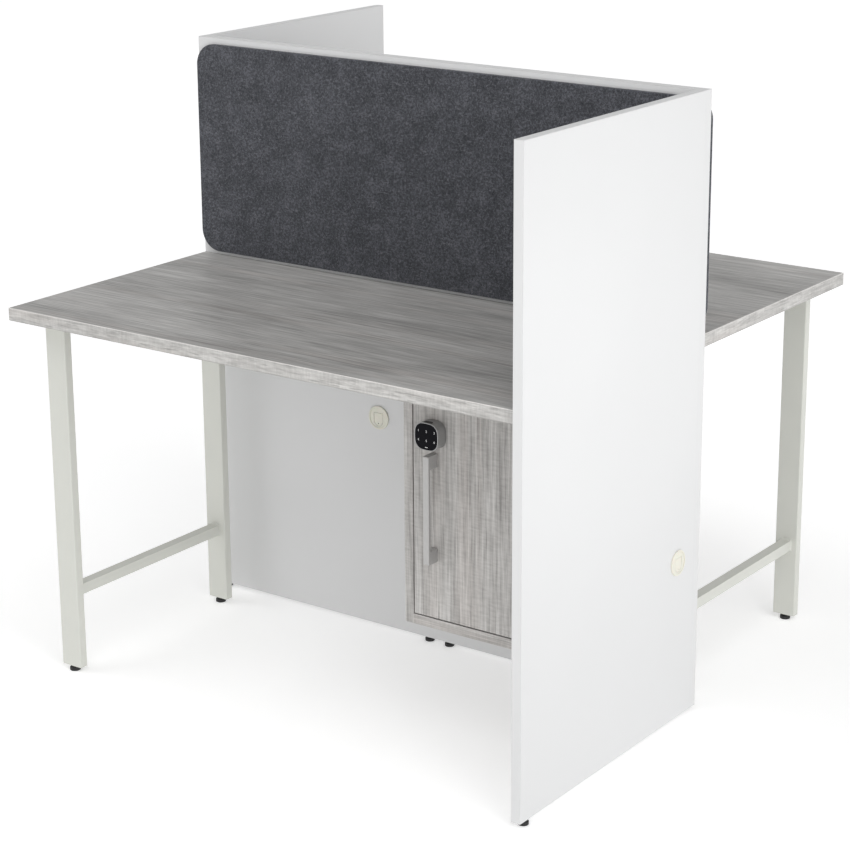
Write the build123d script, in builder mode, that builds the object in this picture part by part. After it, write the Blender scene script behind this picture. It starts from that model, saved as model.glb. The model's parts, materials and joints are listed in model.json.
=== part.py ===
from build123d import *
import os

# Two-person study carrel: a Z-shaped screen with a desk, a tackboard and a locker on each side.
#
# Millimetres, +Z up. The spine runs along X, the front user sits at -Y, and the floor is Z = 0. The
# carrel is unchanged by half a turn about Z, so each front piece has a rear twin turned by 180 degrees.

# ---- Overall sizes ---------------------------------------------------------------------------
overall_width = 1200.0          # length of the spine, outer face to outer face
overall_depth = 1200.0          # front edge of one end panel to rear edge of the other
panel_top = 1214.0              # top of the spine and of the end panels
floor_gap = 11.0                # underside of panels and legs above the floor
spine_thickness = 22.0
panel_thickness = 19.0          # end panels
panel_band = 1.0                # thickness of the white edge band
strip_gap = 0.1                 # gap left where two strips of edge band meet

# ---- Desktops --------------------------------------------------------------------------------
desk_height = 757.0
desk_thickness = 25.4
desk_setback = 12.0             # front edge of the desktop behind that of the end panel
desk_band = 2.0
desk_arris = 1.2                # rounding of the edge band's long edges

# ---- Tackboards ------------------------------------------------------------------------------
felt_thickness = 9.0
felt_corner = 45.0
felt_below_top = 13.0
felt_above_desk = 7.0
felt_side_gap = 1.0             # gap between the felt and the end panel

# ---- Leg frames ------------------------------------------------------------------------------
leg_width = 50.0                # along X
leg_depth = 19.0                # along Y
leg_wall = 1.5
leg_corner = 2.0
leg_from_desk_end = 48.5
leg_from_desk_front = 47.5
leg_from_spine = 61.5
stretcher_size = 22.0
stretcher_height = 169.0        # axis of the stretcher above the floor
vent_radius = 3.0               # paint drain hole behind each end of the stretcher
plate_length = 90.0
plate_width = 60.0
plate_thickness = 4.0
plate_screw_pitch_x = 72.0
plate_screw_pitch_y = 42.0
leg_cap_thickness = 4.0
leg_nut_radius = 7.0
leg_nut_height = 8.0

# ---- Levelling feet --------------------------------------------------------------------------
stem_radius = 4.0
running_clearance = 0.05        # radial, wherever one piece turns in another
stem_reach = 24.0               # length of stem above the panel's underside
stem_room = 1.0                 # free space round and above the stem past its insert
insert_radius = 6.0
insert_length = 20.0
insert_clearance = 0.05
panel_foot_radius = 10.0
leg_foot_radius = 11.0
foot_height = 7.5
foot_chamfer = 1.5
collar_radius = 6.5
collar_gap = 0.5                # between the collar and the underside above it
leveller_inset = 25.0           # from the end of a board to the axis of its leveller

# ---- Dowels ----------------------------------------------------------------------------------
dowel_radius = 4.0
dowel_clearance = 0.05
dowel_in_edge = 24.0
dowel_in_face = 12.0
dowel_room = 1.0                # free depth past the end of a dowel
dowel_heights = (110.0, 400.0, 690.0, 1150.0)

# ---- Screws and brackets ---------------------------------------------------------------------
screw_radius = 2.0
screw_length = 14.0             # in the board, below the plate that it holds
screw_head_radius = 3.4
screw_clearance = 0.02          # radial
bracket_leg = 32.0
bracket_width = 40.0
bracket_thickness = 2.5
bracket_screw_pitch = 22.0
bracket_screw_offset = 19.0     # from the corner to the line of screws
spine_bracket_x = (-360.0, 60.0)
panel_bracket_from_front = 90.0  # from the desktop's front edge

# ---- Cable grommets --------------------------------------------------------------------------
grommet_bore_radius = 21.0
grommet_clearance = 0.2
grommet_wall = 2.0
grommet_flange_radius = 25.0
grommet_flange = 3.0
grommet_recess_radius = 21.5
grommet_recess = 0.8
grommet_round = 0.8
grommet_short_of_back = 1.0     # sleeve end inside the far face
flap_half_width = 11.0
flap_gap = 0.6
flap_thickness = 2.0
flap_axis_rise = 9.0            # hinge axis above the grommet's centre
flap_arc_drop = 6.5             # centre of the tongue's round end below the grommet's centre
flap_top_gap = 0.4
trunnion_radius = 0.7
trunnion_length = 2.4           # depth of the socket beside the opening
trunnion_end_gap = 0.2
flap_hole_radius = 1.3
flap_hole_drop = 12.5
spine_grommet_x = -143.0
spine_grommet_z = 468.0
panel_grommet_from_spine = 59.0
panel_grommet_z = 330.0

# ---- Lockers ---------------------------------------------------------------------------------
locker_width = 365.0
locker_board = 19.0
locker_bottom_z = 238.0         # underside of the locker
locker_from_front = 190.0       # locker face behind the end panel's front edge
back_thickness = 5.0
back_inset = 8.0                # from the sides' rear edges to the back panel
groove_depth = 6.0
groove_clearance = 0.1
top_screw_inset = 45.0
top_counterbore_radius = 4.5
top_counterbore = 12.0

# ---- Locker doors ----------------------------------------------------------------------------
door_thickness = 18.0
door_gap = 2.5
hinge_gap = 3.0
door_arris = 0.6

# ---- Hinges ----------------------------------------------------------------------------------
hinge_height = 60.0
hinge_inset = 70.0              # from the door's end to the hinge's middle
knuckle_radius = 3.5
knuckle_length = 20.0
knuckle_gap = 0.3
leaf_thickness = 1.4
leaf_overlap = 1.0              # how far a leaf runs into its knuckle
leaf_sweep_gap = 0.4            # between a leaf and the other leaf's knuckle
frame_leaf_width = 30.0
hinge_pin_radius = 1.5
hinge_pin_head = 1.5
hinge_head_radius = 2.6
pin_fit = 0.02                  # radial, in the frame leaf
hinge_screw_pitch = 36.0

# ---- Keypad lock -----------------------------------------------------------------------------
lock_from_door_edge = 47.0
lock_z = 617.0
knob_size = 52.0
knob_bulge = 2.4
knob_corner = 18.0
knob_depth = 25.0
knob_gap = 0.4                  # between the knob and the door
knob_rim = 1.3
knob_wall = 4.0
knob_cavity = 15.0
knob_round = 0.6
flange_room = 0.4               # round and behind the barrel's flange
rivet_radius = 6.5
rivet_height = 1.6
keypad_plate = 1.6
keypad_recess = 0.3             # front of the keypad behind the rim
keypad_clearance = 0.1
module_width = 34.0
module_height = 30.0
module_depth = 10.0
module_corner = 3.0
notch_width = 20.0
notch_length = 4.0
notch_depth = 2.0
notch_from_front = 4.0
spindle_radius = 4.95
barrel_radius = 9.0
barrel_flange_radius = 11.5
barrel_flange = 1.2
barrel_clearance = 0.1
nut_size = 24.0                 # across flats
nut_thickness = 4.0
nut_clearance = 0.02
barrel_past_nut = 1.0
cam_gap = 0.4
cam_thickness = 3.0
cam_width = 16.0
cam_eye_radius = 10.0
cam_reach = 42.0
cam_clearance = 0.02
strike_height = 30.0
strike_thickness = 2.0
strike_tab = 15.0
strike_flange = 22.0
strike_gap = 1.0                # between the strike and the closed door
strike_screw_pitch = 16.0
strike_screw_setback = 13.0     # from the tab's front face to the screws

# ---- Handle ----------------------------------------------------------------------------------
handle_length = 208.0
handle_mid_z = 476.0
handle_width = 13.0
handle_bar = 6.0
handle_reach = 28.0             # front of the bar to the door
handle_post = 26.0
handle_round = 0.8
handle_outer_round = 2.5
bolt_radius = 2.0
bolt_clearance = 0.25
bolt_in_post = 14.0
bolt_thread_clearance = 0.02
bolt_head_radius = 4.5
bolt_head = 2.6
bolt_tip_gap = 1.0

# ---- Places that follow from the sizes -------------------------------------------------------
half_width = overall_width / 2
half_depth = overall_depth / 2
spine_face = spine_thickness / 2                     # Y of the spine's rear face
panel_inner_x = half_width - panel_thickness         # inner face of the front end panel
desk_underside = desk_height - desk_thickness
desk_front_y = -half_depth + desk_setback
leg_x = -half_width + leg_from_desk_end + leg_width / 2
outer_leg_y = desk_front_y + leg_from_desk_front + leg_depth / 2
inner_leg_y = -spine_face - leg_from_spine - leg_depth / 2
leg_top = desk_underside - plate_thickness
locker_face_y = -half_depth + locker_from_front
locker_outer_x = panel_inner_x - locker_width
locker_left = locker_outer_x + locker_board          # inner face of the outer side
locker_right = panel_inner_x - locker_board          # inner face of the inner side
locker_floor = locker_bottom_z + locker_board
locker_ceiling = desk_underside - locker_board
back_y = -spine_face - back_inset                    # rear face of the back panel
back_front_y = back_y - back_thickness
door_left = locker_left + door_gap
door_right = locker_right - hinge_gap
door_bottom = locker_floor + door_gap
door_top = locker_ceiling - door_gap
door_rear_y = locker_face_y + door_thickness
hinge_x = locker_right - hinge_gap / 2
hinge_y = locker_face_y - knuckle_radius
hinge_heights = (door_bottom + hinge_inset, door_top - hinge_inset)
lock_x = door_left + lock_from_door_edge
knob_back_y = locker_face_y - knob_gap
knob_front_y = knob_back_y - knob_depth
barrel_end_y = door_rear_y + nut_thickness + barrel_past_nut
cam_y = barrel_end_y + cam_gap                       # front face of the cam
strike_y = door_rear_y + strike_gap                  # front face of the strike's tab
spine_leveller_x = (leveller_inset, half_width - leveller_inset)
panel_leveller_y = -half_depth + leveller_inset
panel_mid_x = half_width - panel_thickness / 2
panel_grommet_y = -spine_face - panel_grommet_from_spine
sleeve_radius = grommet_bore_radius - grommet_clearance
dowel_bore = dowel_radius + dowel_clearance
insert_bore = insert_radius + insert_clearance

os.makedirs("parts", exist_ok=True)


# ---- Writing ---------------------------------------------------------------------------------
def write(builder, label):
    """Label a finished piece and write it to its own STEP file."""
    builder.part.label = label
    export_step(builder.part, f"parts/{label}.step")


def write_pair(builder, label):
    """Write the front piece, and its rear twin turned half a turn about Z."""
    write(builder, f"front_{label}")
    with BuildPart() as twin:
        add(builder.part.rotate(Axis.Z, 180))
    write(twin, f"rear_{label}")


def write_group(builder, label):
    """Write the front pieces together with their rear twins as one node of separate solids."""
    with BuildPart() as group:
        add(builder.part)
        add(builder.part.rotate(Axis.Z, 180))
    write(group, label)


# ---- Shapes used more than once --------------------------------------------------------------
def block(x0, x1, y0, y1, z0, z1, mode=Mode.ADD):
    """A box between two corners, extruded upwards from its underside."""
    with BuildSketch(Plane.XY.offset(z0)) as footprint:
        with Locations(((x0 + x1) / 2, (y0 + y1) / 2)):
            Rectangle(x1 - x0, y1 - y0)
    extrude(footprint.sketch, amount=z1 - z0, mode=mode)


def rod(point, direction, radius, length, mode=Mode.ADD):
    """A round bar, or a round hole, from a point along a direction."""
    with BuildSketch(Plane(origin=point, z_dir=direction)) as section:
        Circle(radius)
    extrude(section.sketch, amount=length, mode=mode)


def screw(point, direction, plate, grow=0.0, mode=Mode.ADD):
    """A countersunk screw from a plate's outer face into a board, or, grown, the hole it needs."""
    seat = Vector(*point) - Vector(*direction) * plate
    with BuildSketch(Plane(origin=seat, z_dir=direction)) as head:
        Circle(screw_head_radius + grow)
    extrude(head.sketch, amount=screw_head_radius - screw_radius, taper=45, mode=mode)
    rod(seat, direction, screw_radius + grow, plate + screw_length + grow, mode)


def bore_for_screws(sites):
    """Cut the holes that the screws at these sites need in the board or plate being built."""
    for point, direction, plate in sites:
        screw(point, direction, plate, screw_clearance, Mode.SUBTRACT)


def squircle(shrink=0.0):
    """Outline of the keypad lock: a square with bulged sides and large round corners."""
    side = knob_size / 2 - shrink
    corner = side - knob_bulge
    with BuildLine() as outline:
        ThreePointArc((-corner, corner), (0, side), (corner, corner))
        ThreePointArc((corner, corner), (side, 0), (corner, -corner))
        ThreePointArc((corner, -corner), (0, -side), (-corner, -corner))
        ThreePointArc((-corner, -corner), (-side, 0), (-corner, corner))
    make_face(outline.edges())
    fillet(vertices(), knob_corner - shrink)


# ---- Where the screws go: (point on the board, direction into it, thickness of the plate) -----
def plate_sites(leg_y):
    """Screw sites of one leg plate, on the underside of the desktop."""
    across = (-plate_screw_pitch_x / 2, plate_screw_pitch_x / 2)
    along = (-plate_screw_pitch_y / 2, plate_screw_pitch_y / 2)
    return [
        ((leg_x + dx, leg_y + dy, desk_underside), (0, 0, 1), plate_thickness)
        for dx in across for dy in along
    ]


panel_bracket_y = desk_front_y + panel_bracket_from_front
bracket_rows = (-bracket_screw_pitch / 2, bracket_screw_pitch / 2)
hinge_rows = (-hinge_screw_pitch / 2, hinge_screw_pitch / 2)
strike_rows = (-strike_screw_pitch / 2, strike_screw_pitch / 2)
leg_plate_sites = plate_sites(outer_leg_y) + plate_sites(inner_leg_y)
spine_bracket_desk_sites = [
    ((x + dx, -spine_face - bracket_screw_offset, desk_underside), (0, 0, 1), bracket_thickness)
    for x in spine_bracket_x for dx in bracket_rows
]
spine_bracket_wall_sites = [
    ((x + dx, -spine_face, desk_underside - bracket_screw_offset), (0, 1, 0), bracket_thickness)
    for x in spine_bracket_x for dx in bracket_rows
]
panel_bracket_desk_sites = [
    ((panel_inner_x - bracket_screw_offset, panel_bracket_y + dy, desk_underside), (0, 0, 1),
     bracket_thickness)
    for dy in bracket_rows
]
panel_bracket_wall_sites = [
    ((panel_inner_x, panel_bracket_y + dy, desk_underside - bracket_screw_offset), (1, 0, 0),
     bracket_thickness)
    for dy in bracket_rows
]
locker_top_sites = [
    ((x, y, desk_underside), (0, 0, 1), locker_board - top_counterbore)
    for x in (locker_left + top_screw_inset, locker_right - top_screw_inset)
    for y in (locker_face_y + top_screw_inset, back_front_y - top_screw_inset)
]
frame_leaf_sites = [
    ((locker_right, locker_face_y + frame_leaf_width / 2, z + dz), (1, 0, 0), leaf_thickness)
    for z in hinge_heights for dz in hinge_rows
]
door_leaf_sites = [
    ((door_right, locker_face_y + door_thickness / 2, z + dz), (-1, 0, 0), leaf_thickness)
    for z in hinge_heights for dz in hinge_rows
]
strike_sites = [
    ((locker_left, strike_y + strike_screw_setback, lock_z + dz), (-1, 0, 0), strike_thickness)
    for dz in strike_rows
]
bracket_sites = (
    spine_bracket_desk_sites + spine_bracket_wall_sites
    + panel_bracket_desk_sites + panel_bracket_wall_sites
)
desk_sites = (
    leg_plate_sites + spine_bracket_desk_sites + panel_bracket_desk_sites + locker_top_sites
)

# ---- Spine: two half-width boards ------------------------------------------------------------
board_top = panel_top - panel_band


def bore_for_leveller(x, y):
    """Bore a board's underside for a threaded insert, and above it for the end of the stem."""
    rod((x, y, floor_gap), (0, 0, 1), insert_bore, insert_length, Mode.SUBTRACT)
    rod((x, y, floor_gap), (0, 0, 1), stem_radius + stem_room, stem_reach + stem_room,
        Mode.SUBTRACT)


def spine_wall_sites(side):
    """Bracket screws in the spine board on one side of the middle, from both of its faces."""
    sites = []
    for turn in (1, -1):
        for (x, y, z), (_, dy, _), plate in spine_bracket_wall_sites:
            if turn * x * side > 0:
                sites.append(((turn * x, turn * y, z), (0, turn * dy, 0), plate))
    return sites


for side, name in ((-1, "left"), (1, "right")):
    outer_end = side * (half_width - panel_band)
    with BuildPart() as spine_board:
        block(min(0, outer_end), max(0, outer_end), -spine_face, spine_face, floor_gap, board_top)
        rod((-side * spine_grommet_x, -spine_face, spine_grommet_z), (0, 1, 0),
            grommet_bore_radius, spine_thickness, Mode.SUBTRACT)
        for leveller_x in spine_leveller_x:
            bore_for_leveller(side * leveller_x, 0)
        for z in dowel_heights:
            rod((0, 0, z), (side, 0, 0), dowel_bore, dowel_in_edge + dowel_room, Mode.SUBTRACT)
            rod((side * panel_mid_x, -side * spine_face, z), (0, side, 0), dowel_bore,
                dowel_in_face + dowel_room, Mode.SUBTRACT)
        bore_for_screws(spine_wall_sites(side))
    write(spine_board, f"spine_board_{name}")

# ---- End panels ------------------------------------------------------------------------------
with BuildPart() as end_panel:
    block(panel_inner_x, half_width, -half_depth + panel_band, -spine_face, floor_gap, board_top)
    rod((panel_inner_x, panel_grommet_y, panel_grommet_z), (1, 0, 0), grommet_bore_radius,
        panel_thickness, Mode.SUBTRACT)
    bore_for_leveller(panel_mid_x, panel_leveller_y)
    for z in dowel_heights:
        rod((panel_mid_x, -spine_face, z), (0, -1, 0), dowel_bore, dowel_in_edge + dowel_room,
            Mode.SUBTRACT)
    bore_for_screws(panel_bracket_wall_sites)
write_pair(end_panel, "end_panel")

# ---- White edge bands of the spine and the end panels ----------------------------------------
with BuildPart() as panel_edging:
    # front edge and top edge of the end panel
    block(panel_inner_x, half_width, -half_depth, -half_depth + panel_band, floor_gap, panel_top)
    block(panel_inner_x, half_width, -half_depth + panel_band + strip_gap, -spine_face - strip_gap,
          board_top, panel_top)
    # end edge and top edge of one spine board
    block(half_width - panel_band, half_width, -spine_face, spine_face, floor_gap, panel_top)
    block(strip_gap / 2, half_width - panel_band - strip_gap, -spine_face, spine_face,
          board_top, panel_top)
write_group(panel_edging, "panel_edging")

# ---- Dowels ----------------------------------------------------------------------------------
with BuildPart() as panel_dowels:
    for z in dowel_heights:
        rod((-dowel_in_edge, 0, z), (1, 0, 0), dowel_radius, 2 * dowel_in_edge)
        for side in (-1, 1):
            rod((side * panel_mid_x, side * (dowel_in_face - spine_face), z), (0, -side, 0),
                dowel_radius, dowel_in_face + dowel_in_edge)
write(panel_dowels, "panel_dowels")

# ---- Desktops and their edge bands -----------------------------------------------------------
with BuildPart() as desktop:
    block(-half_width + desk_band, panel_inner_x, desk_front_y + desk_band, -spine_face,
          desk_underside, desk_height)
    bore_for_screws(desk_sites)
write_pair(desktop, "desktop")

with BuildPart() as desktop_edging:
    block(-half_width, panel_inner_x, desk_front_y, desk_front_y + desk_band,
          desk_underside, desk_height)
    fillet(desktop_edging.edges().filter_by(Axis.X).group_by(Axis.Y)[0], desk_arris)
    block(-half_width, -half_width + desk_band, desk_front_y + desk_band + strip_gap, -spine_face,
          desk_underside, desk_height)
    fillet(desktop_edging.edges().filter_by(Axis.Y).group_by(Axis.X)[0], desk_arris)
write_group(desktop_edging, "desktop_edging")

# ---- Tackboards ------------------------------------------------------------------------------
felt_left = -half_width
felt_right = panel_inner_x - felt_side_gap
felt_bottom = desk_height + felt_above_desk
felt_top = panel_top - felt_below_top
with BuildPart() as tackboard:
    with BuildSketch(Plane.XZ.offset(spine_face)):
        with Locations(((felt_left + felt_right) / 2, (felt_bottom + felt_top) / 2)):
            RectangleRounded(felt_right - felt_left, felt_top - felt_bottom, felt_corner)
    extrude(amount=felt_thickness)
write_pair(tackboard, "tackboard")

# ---- Leg frames: two tubes, a stretcher, end caps and mounting plates welded together --------
with BuildPart() as leg_frame:
    for leg_y in (outer_leg_y, inner_leg_y):
        with BuildSketch(Plane.XY.offset(floor_gap)):
            with Locations((leg_x, leg_y)):
                RectangleRounded(leg_width, leg_depth, leg_corner)
        extrude(amount=leg_top - floor_gap)
        block(leg_x - plate_length / 2, leg_x + plate_length / 2, leg_y - plate_width / 2,
              leg_y + plate_width / 2, leg_top, desk_underside)
    block(leg_x - stretcher_size / 2, leg_x + stretcher_size / 2, outer_leg_y + leg_depth / 2,
          inner_leg_y - leg_depth / 2, stretcher_height - stretcher_size / 2,
          stretcher_height + stretcher_size / 2)
    # insides of the tubes, with the welded nut left standing on each end cap
    for leg_y in (outer_leg_y, inner_leg_y):
        cap_top = floor_gap + leg_cap_thickness
        with BuildSketch(Plane.XY.offset(cap_top)):
            with Locations((leg_x, leg_y)):
                Rectangle(leg_width - 2 * leg_wall, leg_depth - 2 * leg_wall)
                Circle(leg_nut_radius, mode=Mode.SUBTRACT)
        extrude(amount=leg_nut_height, mode=Mode.SUBTRACT)
        block(leg_x - leg_width / 2 + leg_wall, leg_x + leg_width / 2 - leg_wall,
              leg_y - leg_depth / 2 + leg_wall, leg_y + leg_depth / 2 - leg_wall,
              cap_top + leg_nut_height, leg_top, Mode.SUBTRACT)
        rod((leg_x, leg_y, floor_gap), (0, 0, 1), stem_radius + running_clearance,
            leg_cap_thickness + leg_nut_height, Mode.SUBTRACT)
    block(leg_x - stretcher_size / 2 + leg_wall, leg_x + stretcher_size / 2 - leg_wall,
          outer_leg_y + leg_depth / 2, inner_leg_y - leg_depth / 2,
          stretcher_height - stretcher_size / 2 + leg_wall,
          stretcher_height + stretcher_size / 2 - leg_wall, Mode.SUBTRACT)
    rod((leg_x, outer_leg_y, stretcher_height), (0, 1, 0), vent_radius,
        inner_leg_y - outer_leg_y, Mode.SUBTRACT)
    bore_for_screws(leg_plate_sites)
write_pair(leg_frame, "leg_frame")


# ---- Levelling feet --------------------------------------------------------------------------
def make_leveller(x, y, foot_radius, label):
    """A round glide with a collar and a stem that screws into the panel or leg above it."""
    with BuildPart() as leveller:
        rod((x, y, 0), (0, 0, 1), foot_radius, foot_height)
        chamfer(leveller.edges().group_by(Axis.Z)[-1], foot_chamfer)
        fillet(leveller.edges().group_by(Axis.Z)[0], foot_chamfer / 2)
        rod((x, y, foot_height), (0, 0, 1), collar_radius, floor_gap - collar_gap - foot_height)
        rod((x, y, foot_height), (0, 0, 1), stem_radius, floor_gap - foot_height + stem_reach)
        chamfer(leveller.edges().group_by(Axis.Z)[-1], stem_radius / 4)
    write(leveller, label)


for side, name in ((-1, "left"), (1, "right")):
    make_leveller(side * spine_leveller_x[0], 0, panel_foot_radius, f"spine_leveller_{name}_middle")
    make_leveller(side * spine_leveller_x[1], 0, panel_foot_radius, f"spine_leveller_{name}_end")
for turn, name in ((1, "front"), (-1, "rear")):
    make_leveller(turn * panel_mid_x, turn * panel_leveller_y, panel_foot_radius,
                  f"{name}_end_panel_leveller")
    make_leveller(turn * leg_x, turn * outer_leg_y, leg_foot_radius, f"{name}_outer_leg_leveller")
    make_leveller(turn * leg_x, turn * inner_leg_y, leg_foot_radius, f"{name}_inner_leg_leveller")

with BuildPart() as leveller_inserts:
    for x, y in [(x, 0) for x in spine_leveller_x] + [(panel_mid_x, panel_leveller_y)]:
        rod((x, y, floor_gap), (0, 0, 1), insert_radius, insert_length)
        rod((x, y, floor_gap), (0, 0, 1), stem_radius + running_clearance, insert_length,
            Mode.SUBTRACT)
write_group(leveller_inserts, "leveller_inserts")

# ---- Angle brackets under the desktops -------------------------------------------------------
with BuildPart() as desk_brackets:
    for x in spine_bracket_x:
        x0, x1 = x - bracket_width / 2, x + bracket_width / 2
        block(x0, x1, -spine_face - bracket_leg, -spine_face, desk_underside - bracket_thickness,
              desk_underside)
        block(x0, x1, -spine_face - bracket_thickness, -spine_face, desk_underside - bracket_leg,
              desk_underside)
    y0, y1 = panel_bracket_y - bracket_width / 2, panel_bracket_y + bracket_width / 2
    block(panel_inner_x - bracket_leg, panel_inner_x, y0, y1, desk_underside - bracket_thickness,
          desk_underside)
    block(panel_inner_x - bracket_thickness, panel_inner_x, y0, y1, desk_underside - bracket_leg,
          desk_underside)
    bore_for_screws(bracket_sites)
write_group(desk_brackets, "desk_brackets")

with BuildPart() as wood_screws:
    for point, direction, plate in (leg_plate_sites + bracket_sites + locker_top_sites
                                    + frame_leaf_sites + strike_sites):
        screw(point, direction, plate)
write_group(wood_screws, "wood_screws")


# ---- Cable grommets --------------------------------------------------------------------------
def tongue(clearance, top):
    """Outline of a grommet's tongue: straight sides up to a height, round end below."""
    half = flap_half_width + clearance
    with BuildLine() as outline:
        Line((-half, top), (-half, -flap_arc_drop))
        ThreePointArc((-half, -flap_arc_drop), (0, -flap_arc_drop - half), (half, -flap_arc_drop))
        Line((half, -flap_arc_drop), (half, top))
        Line((half, top), (-half, top))
    make_face(outline.edges())


def make_grommet(face, depth):
    """A flanged sleeve on a face plane whose normal points outwards, reaching a depth behind it."""
    disc = grommet_flange - grommet_recess
    socket_half = flap_half_width + flap_gap + trunnion_length
    with BuildPart() as grommet:
        with BuildSketch(face):
            Circle(grommet_flange_radius)
        extrude(amount=grommet_flange)
        fillet(grommet.edges().sort_by(Axis(face.origin, face.z_dir))[-1], grommet_round)
        with BuildSketch(face):
            Circle(sleeve_radius)
            Circle(sleeve_radius - grommet_wall, mode=Mode.SUBTRACT)
        extrude(amount=-depth)
        with BuildSketch(face.offset(disc)):
            Circle(grommet_recess_radius)
        extrude(amount=grommet_recess, mode=Mode.SUBTRACT)
        with BuildSketch(face):
            tongue(flap_gap, flap_axis_rise + flap_thickness / 2 + flap_top_gap)
        extrude(amount=disc, mode=Mode.SUBTRACT)
        socket_end = face.offset(disc / 2).from_local_coords((-socket_half, flap_axis_rise, 0))
        rod(socket_end, face.x_dir, trunnion_radius + running_clearance, 2 * socket_half,
            Mode.SUBTRACT)
    return grommet


def make_flap(face):
    """The tongue of a grommet, hung on two trunnions and filling the opening in the flange."""
    middle = face.offset((grommet_flange - grommet_recess) / 2)
    trunnion_half = flap_half_width + flap_gap + trunnion_length - trunnion_end_gap
    with BuildPart() as flap:
        with BuildSketch(middle.offset(-flap_thickness / 2)):
            tongue(0, flap_axis_rise)
            with Locations((0, -flap_hole_drop)):
                Circle(flap_hole_radius, mode=Mode.SUBTRACT)
        extrude(amount=flap_thickness)
        barrel_end = middle.from_local_coords((-flap_half_width, flap_axis_rise, 0))
        rod(barrel_end, face.x_dir, flap_thickness / 2, 2 * flap_half_width)
        trunnion_end = middle.from_local_coords((-trunnion_half, flap_axis_rise, 0))
        rod(trunnion_end, face.x_dir, trunnion_radius, 2 * trunnion_half)
    return flap


spine_grommet_face = Plane(
    origin=(spine_grommet_x, -spine_face, spine_grommet_z), x_dir=(1, 0, 0), z_dir=(0, -1, 0)
)
panel_grommet_face = Plane(
    origin=(half_width, panel_grommet_y, panel_grommet_z), x_dir=(0, 1, 0), z_dir=(1, 0, 0)
)
spine_sleeve = spine_thickness - grommet_short_of_back
panel_sleeve = panel_thickness + locker_board - grommet_short_of_back
write_group(make_grommet(spine_grommet_face, spine_sleeve), "spine_grommets")
write_group(make_grommet(panel_grommet_face, panel_sleeve), "end_panel_grommets")
write_pair(make_flap(spine_grommet_face), "spine_grommet_flap")
write_pair(make_flap(panel_grommet_face), "end_panel_grommet_flap")

# ---- Lockers ---------------------------------------------------------------------------------
groove_front_y = back_front_y - groove_clearance
groove_rear_y = back_y + groove_clearance
with BuildPart() as locker_outer_side:
    block(locker_outer_x, locker_left, locker_face_y, -spine_face, locker_bottom_z, desk_underside)
    block(locker_left - groove_depth, locker_left, groove_front_y, groove_rear_y,
          locker_bottom_z, desk_underside, Mode.SUBTRACT)
    bore_for_screws(strike_sites)
write_pair(locker_outer_side, "locker_outer_side")

with BuildPart() as locker_inner_side:
    block(locker_right, panel_inner_x, locker_face_y, -spine_face, locker_bottom_z, desk_underside)
    block(locker_right, locker_right + groove_depth, groove_front_y, groove_rear_y,
          locker_bottom_z, desk_underside, Mode.SUBTRACT)
    rod((locker_right, panel_grommet_y, panel_grommet_z), (1, 0, 0), grommet_bore_radius,
        locker_board, Mode.SUBTRACT)
    bore_for_screws(frame_leaf_sites)
write_pair(locker_inner_side, "locker_inner_side")

with BuildPart() as locker_bottom:
    block(locker_left, locker_right, locker_face_y, groove_front_y, locker_bottom_z, locker_floor)
write_pair(locker_bottom, "locker_bottom")

with BuildPart() as locker_tops:
    block(locker_left, locker_right, locker_face_y, groove_front_y, locker_ceiling, desk_underside)
    for (x, y, _), direction, _ in locker_top_sites:
        rod((x, y, locker_ceiling), direction, top_counterbore_radius, top_counterbore,
            Mode.SUBTRACT)
    bore_for_screws(locker_top_sites)
write_group(locker_tops, "locker_tops")

with BuildPart() as locker_backs:
    groove_floor = groove_depth - groove_clearance
    block(locker_left - groove_floor, locker_right + groove_floor, back_front_y, back_y,
          locker_bottom_z, desk_underside)
write_group(locker_backs, "locker_backs")

# ---- Locker doors ----------------------------------------------------------------------------
bolt_heights = (
    handle_mid_z - handle_length / 2 + handle_post / 2,
    handle_mid_z + handle_length / 2 - handle_post / 2,
)
with BuildPart() as locker_door:
    block(door_left, door_right, locker_face_y, door_rear_y, door_bottom, door_top)
    fillet(locker_door.faces().sort_by(Axis.Y)[0].edges(), door_arris)
    rod((lock_x, locker_face_y, lock_z), (0, 1, 0), barrel_radius + barrel_clearance,
        door_thickness, Mode.SUBTRACT)
    for z in bolt_heights:
        rod((lock_x, locker_face_y, z), (0, 1, 0), bolt_radius + bolt_clearance, door_thickness,
            Mode.SUBTRACT)
    bore_for_screws(door_leaf_sites)
write_pair(locker_door, "locker_door")

# ---- Hinges: two fixed knuckles and one moving knuckle on a pin ------------------------------
knuckle_end = hinge_height / 2
moving_half = (knuckle_length - knuckle_gap) / 2
fixed_start = (knuckle_length + knuckle_gap) / 2
leaf_front_y = hinge_y + knuckle_radius + leaf_sweep_gap
tab_front_y = hinge_y + knuckle_radius - leaf_overlap


def knuckle(x0, x1, z0, z1, pin_bore):
    """A knuckle round the hinge axis, and the tab that joins it to its leaf between x0 and x1."""
    rod((hinge_x, hinge_y, z0), (0, 0, 1), knuckle_radius, z1 - z0)
    block(x0, x1, tab_front_y, leaf_front_y, z0, z1)
    rod((hinge_x, hinge_y, z0), (0, 0, 1), pin_bore, z1 - z0, Mode.SUBTRACT)


with BuildPart() as hinge_frame_leaves:
    x0, x1 = locker_right - leaf_thickness, locker_right
    for z in hinge_heights:
        block(x0, x1, leaf_front_y, locker_face_y + frame_leaf_width, z - knuckle_end,
              z + knuckle_end)
        knuckle(x0, x1, z - knuckle_end, z - fixed_start, hinge_pin_radius + pin_fit)
        knuckle(x0, x1, z + fixed_start, z + knuckle_end, hinge_pin_radius + pin_fit)
    bore_for_screws(frame_leaf_sites)
write_group(hinge_frame_leaves, "hinge_frame_leaves")

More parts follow.
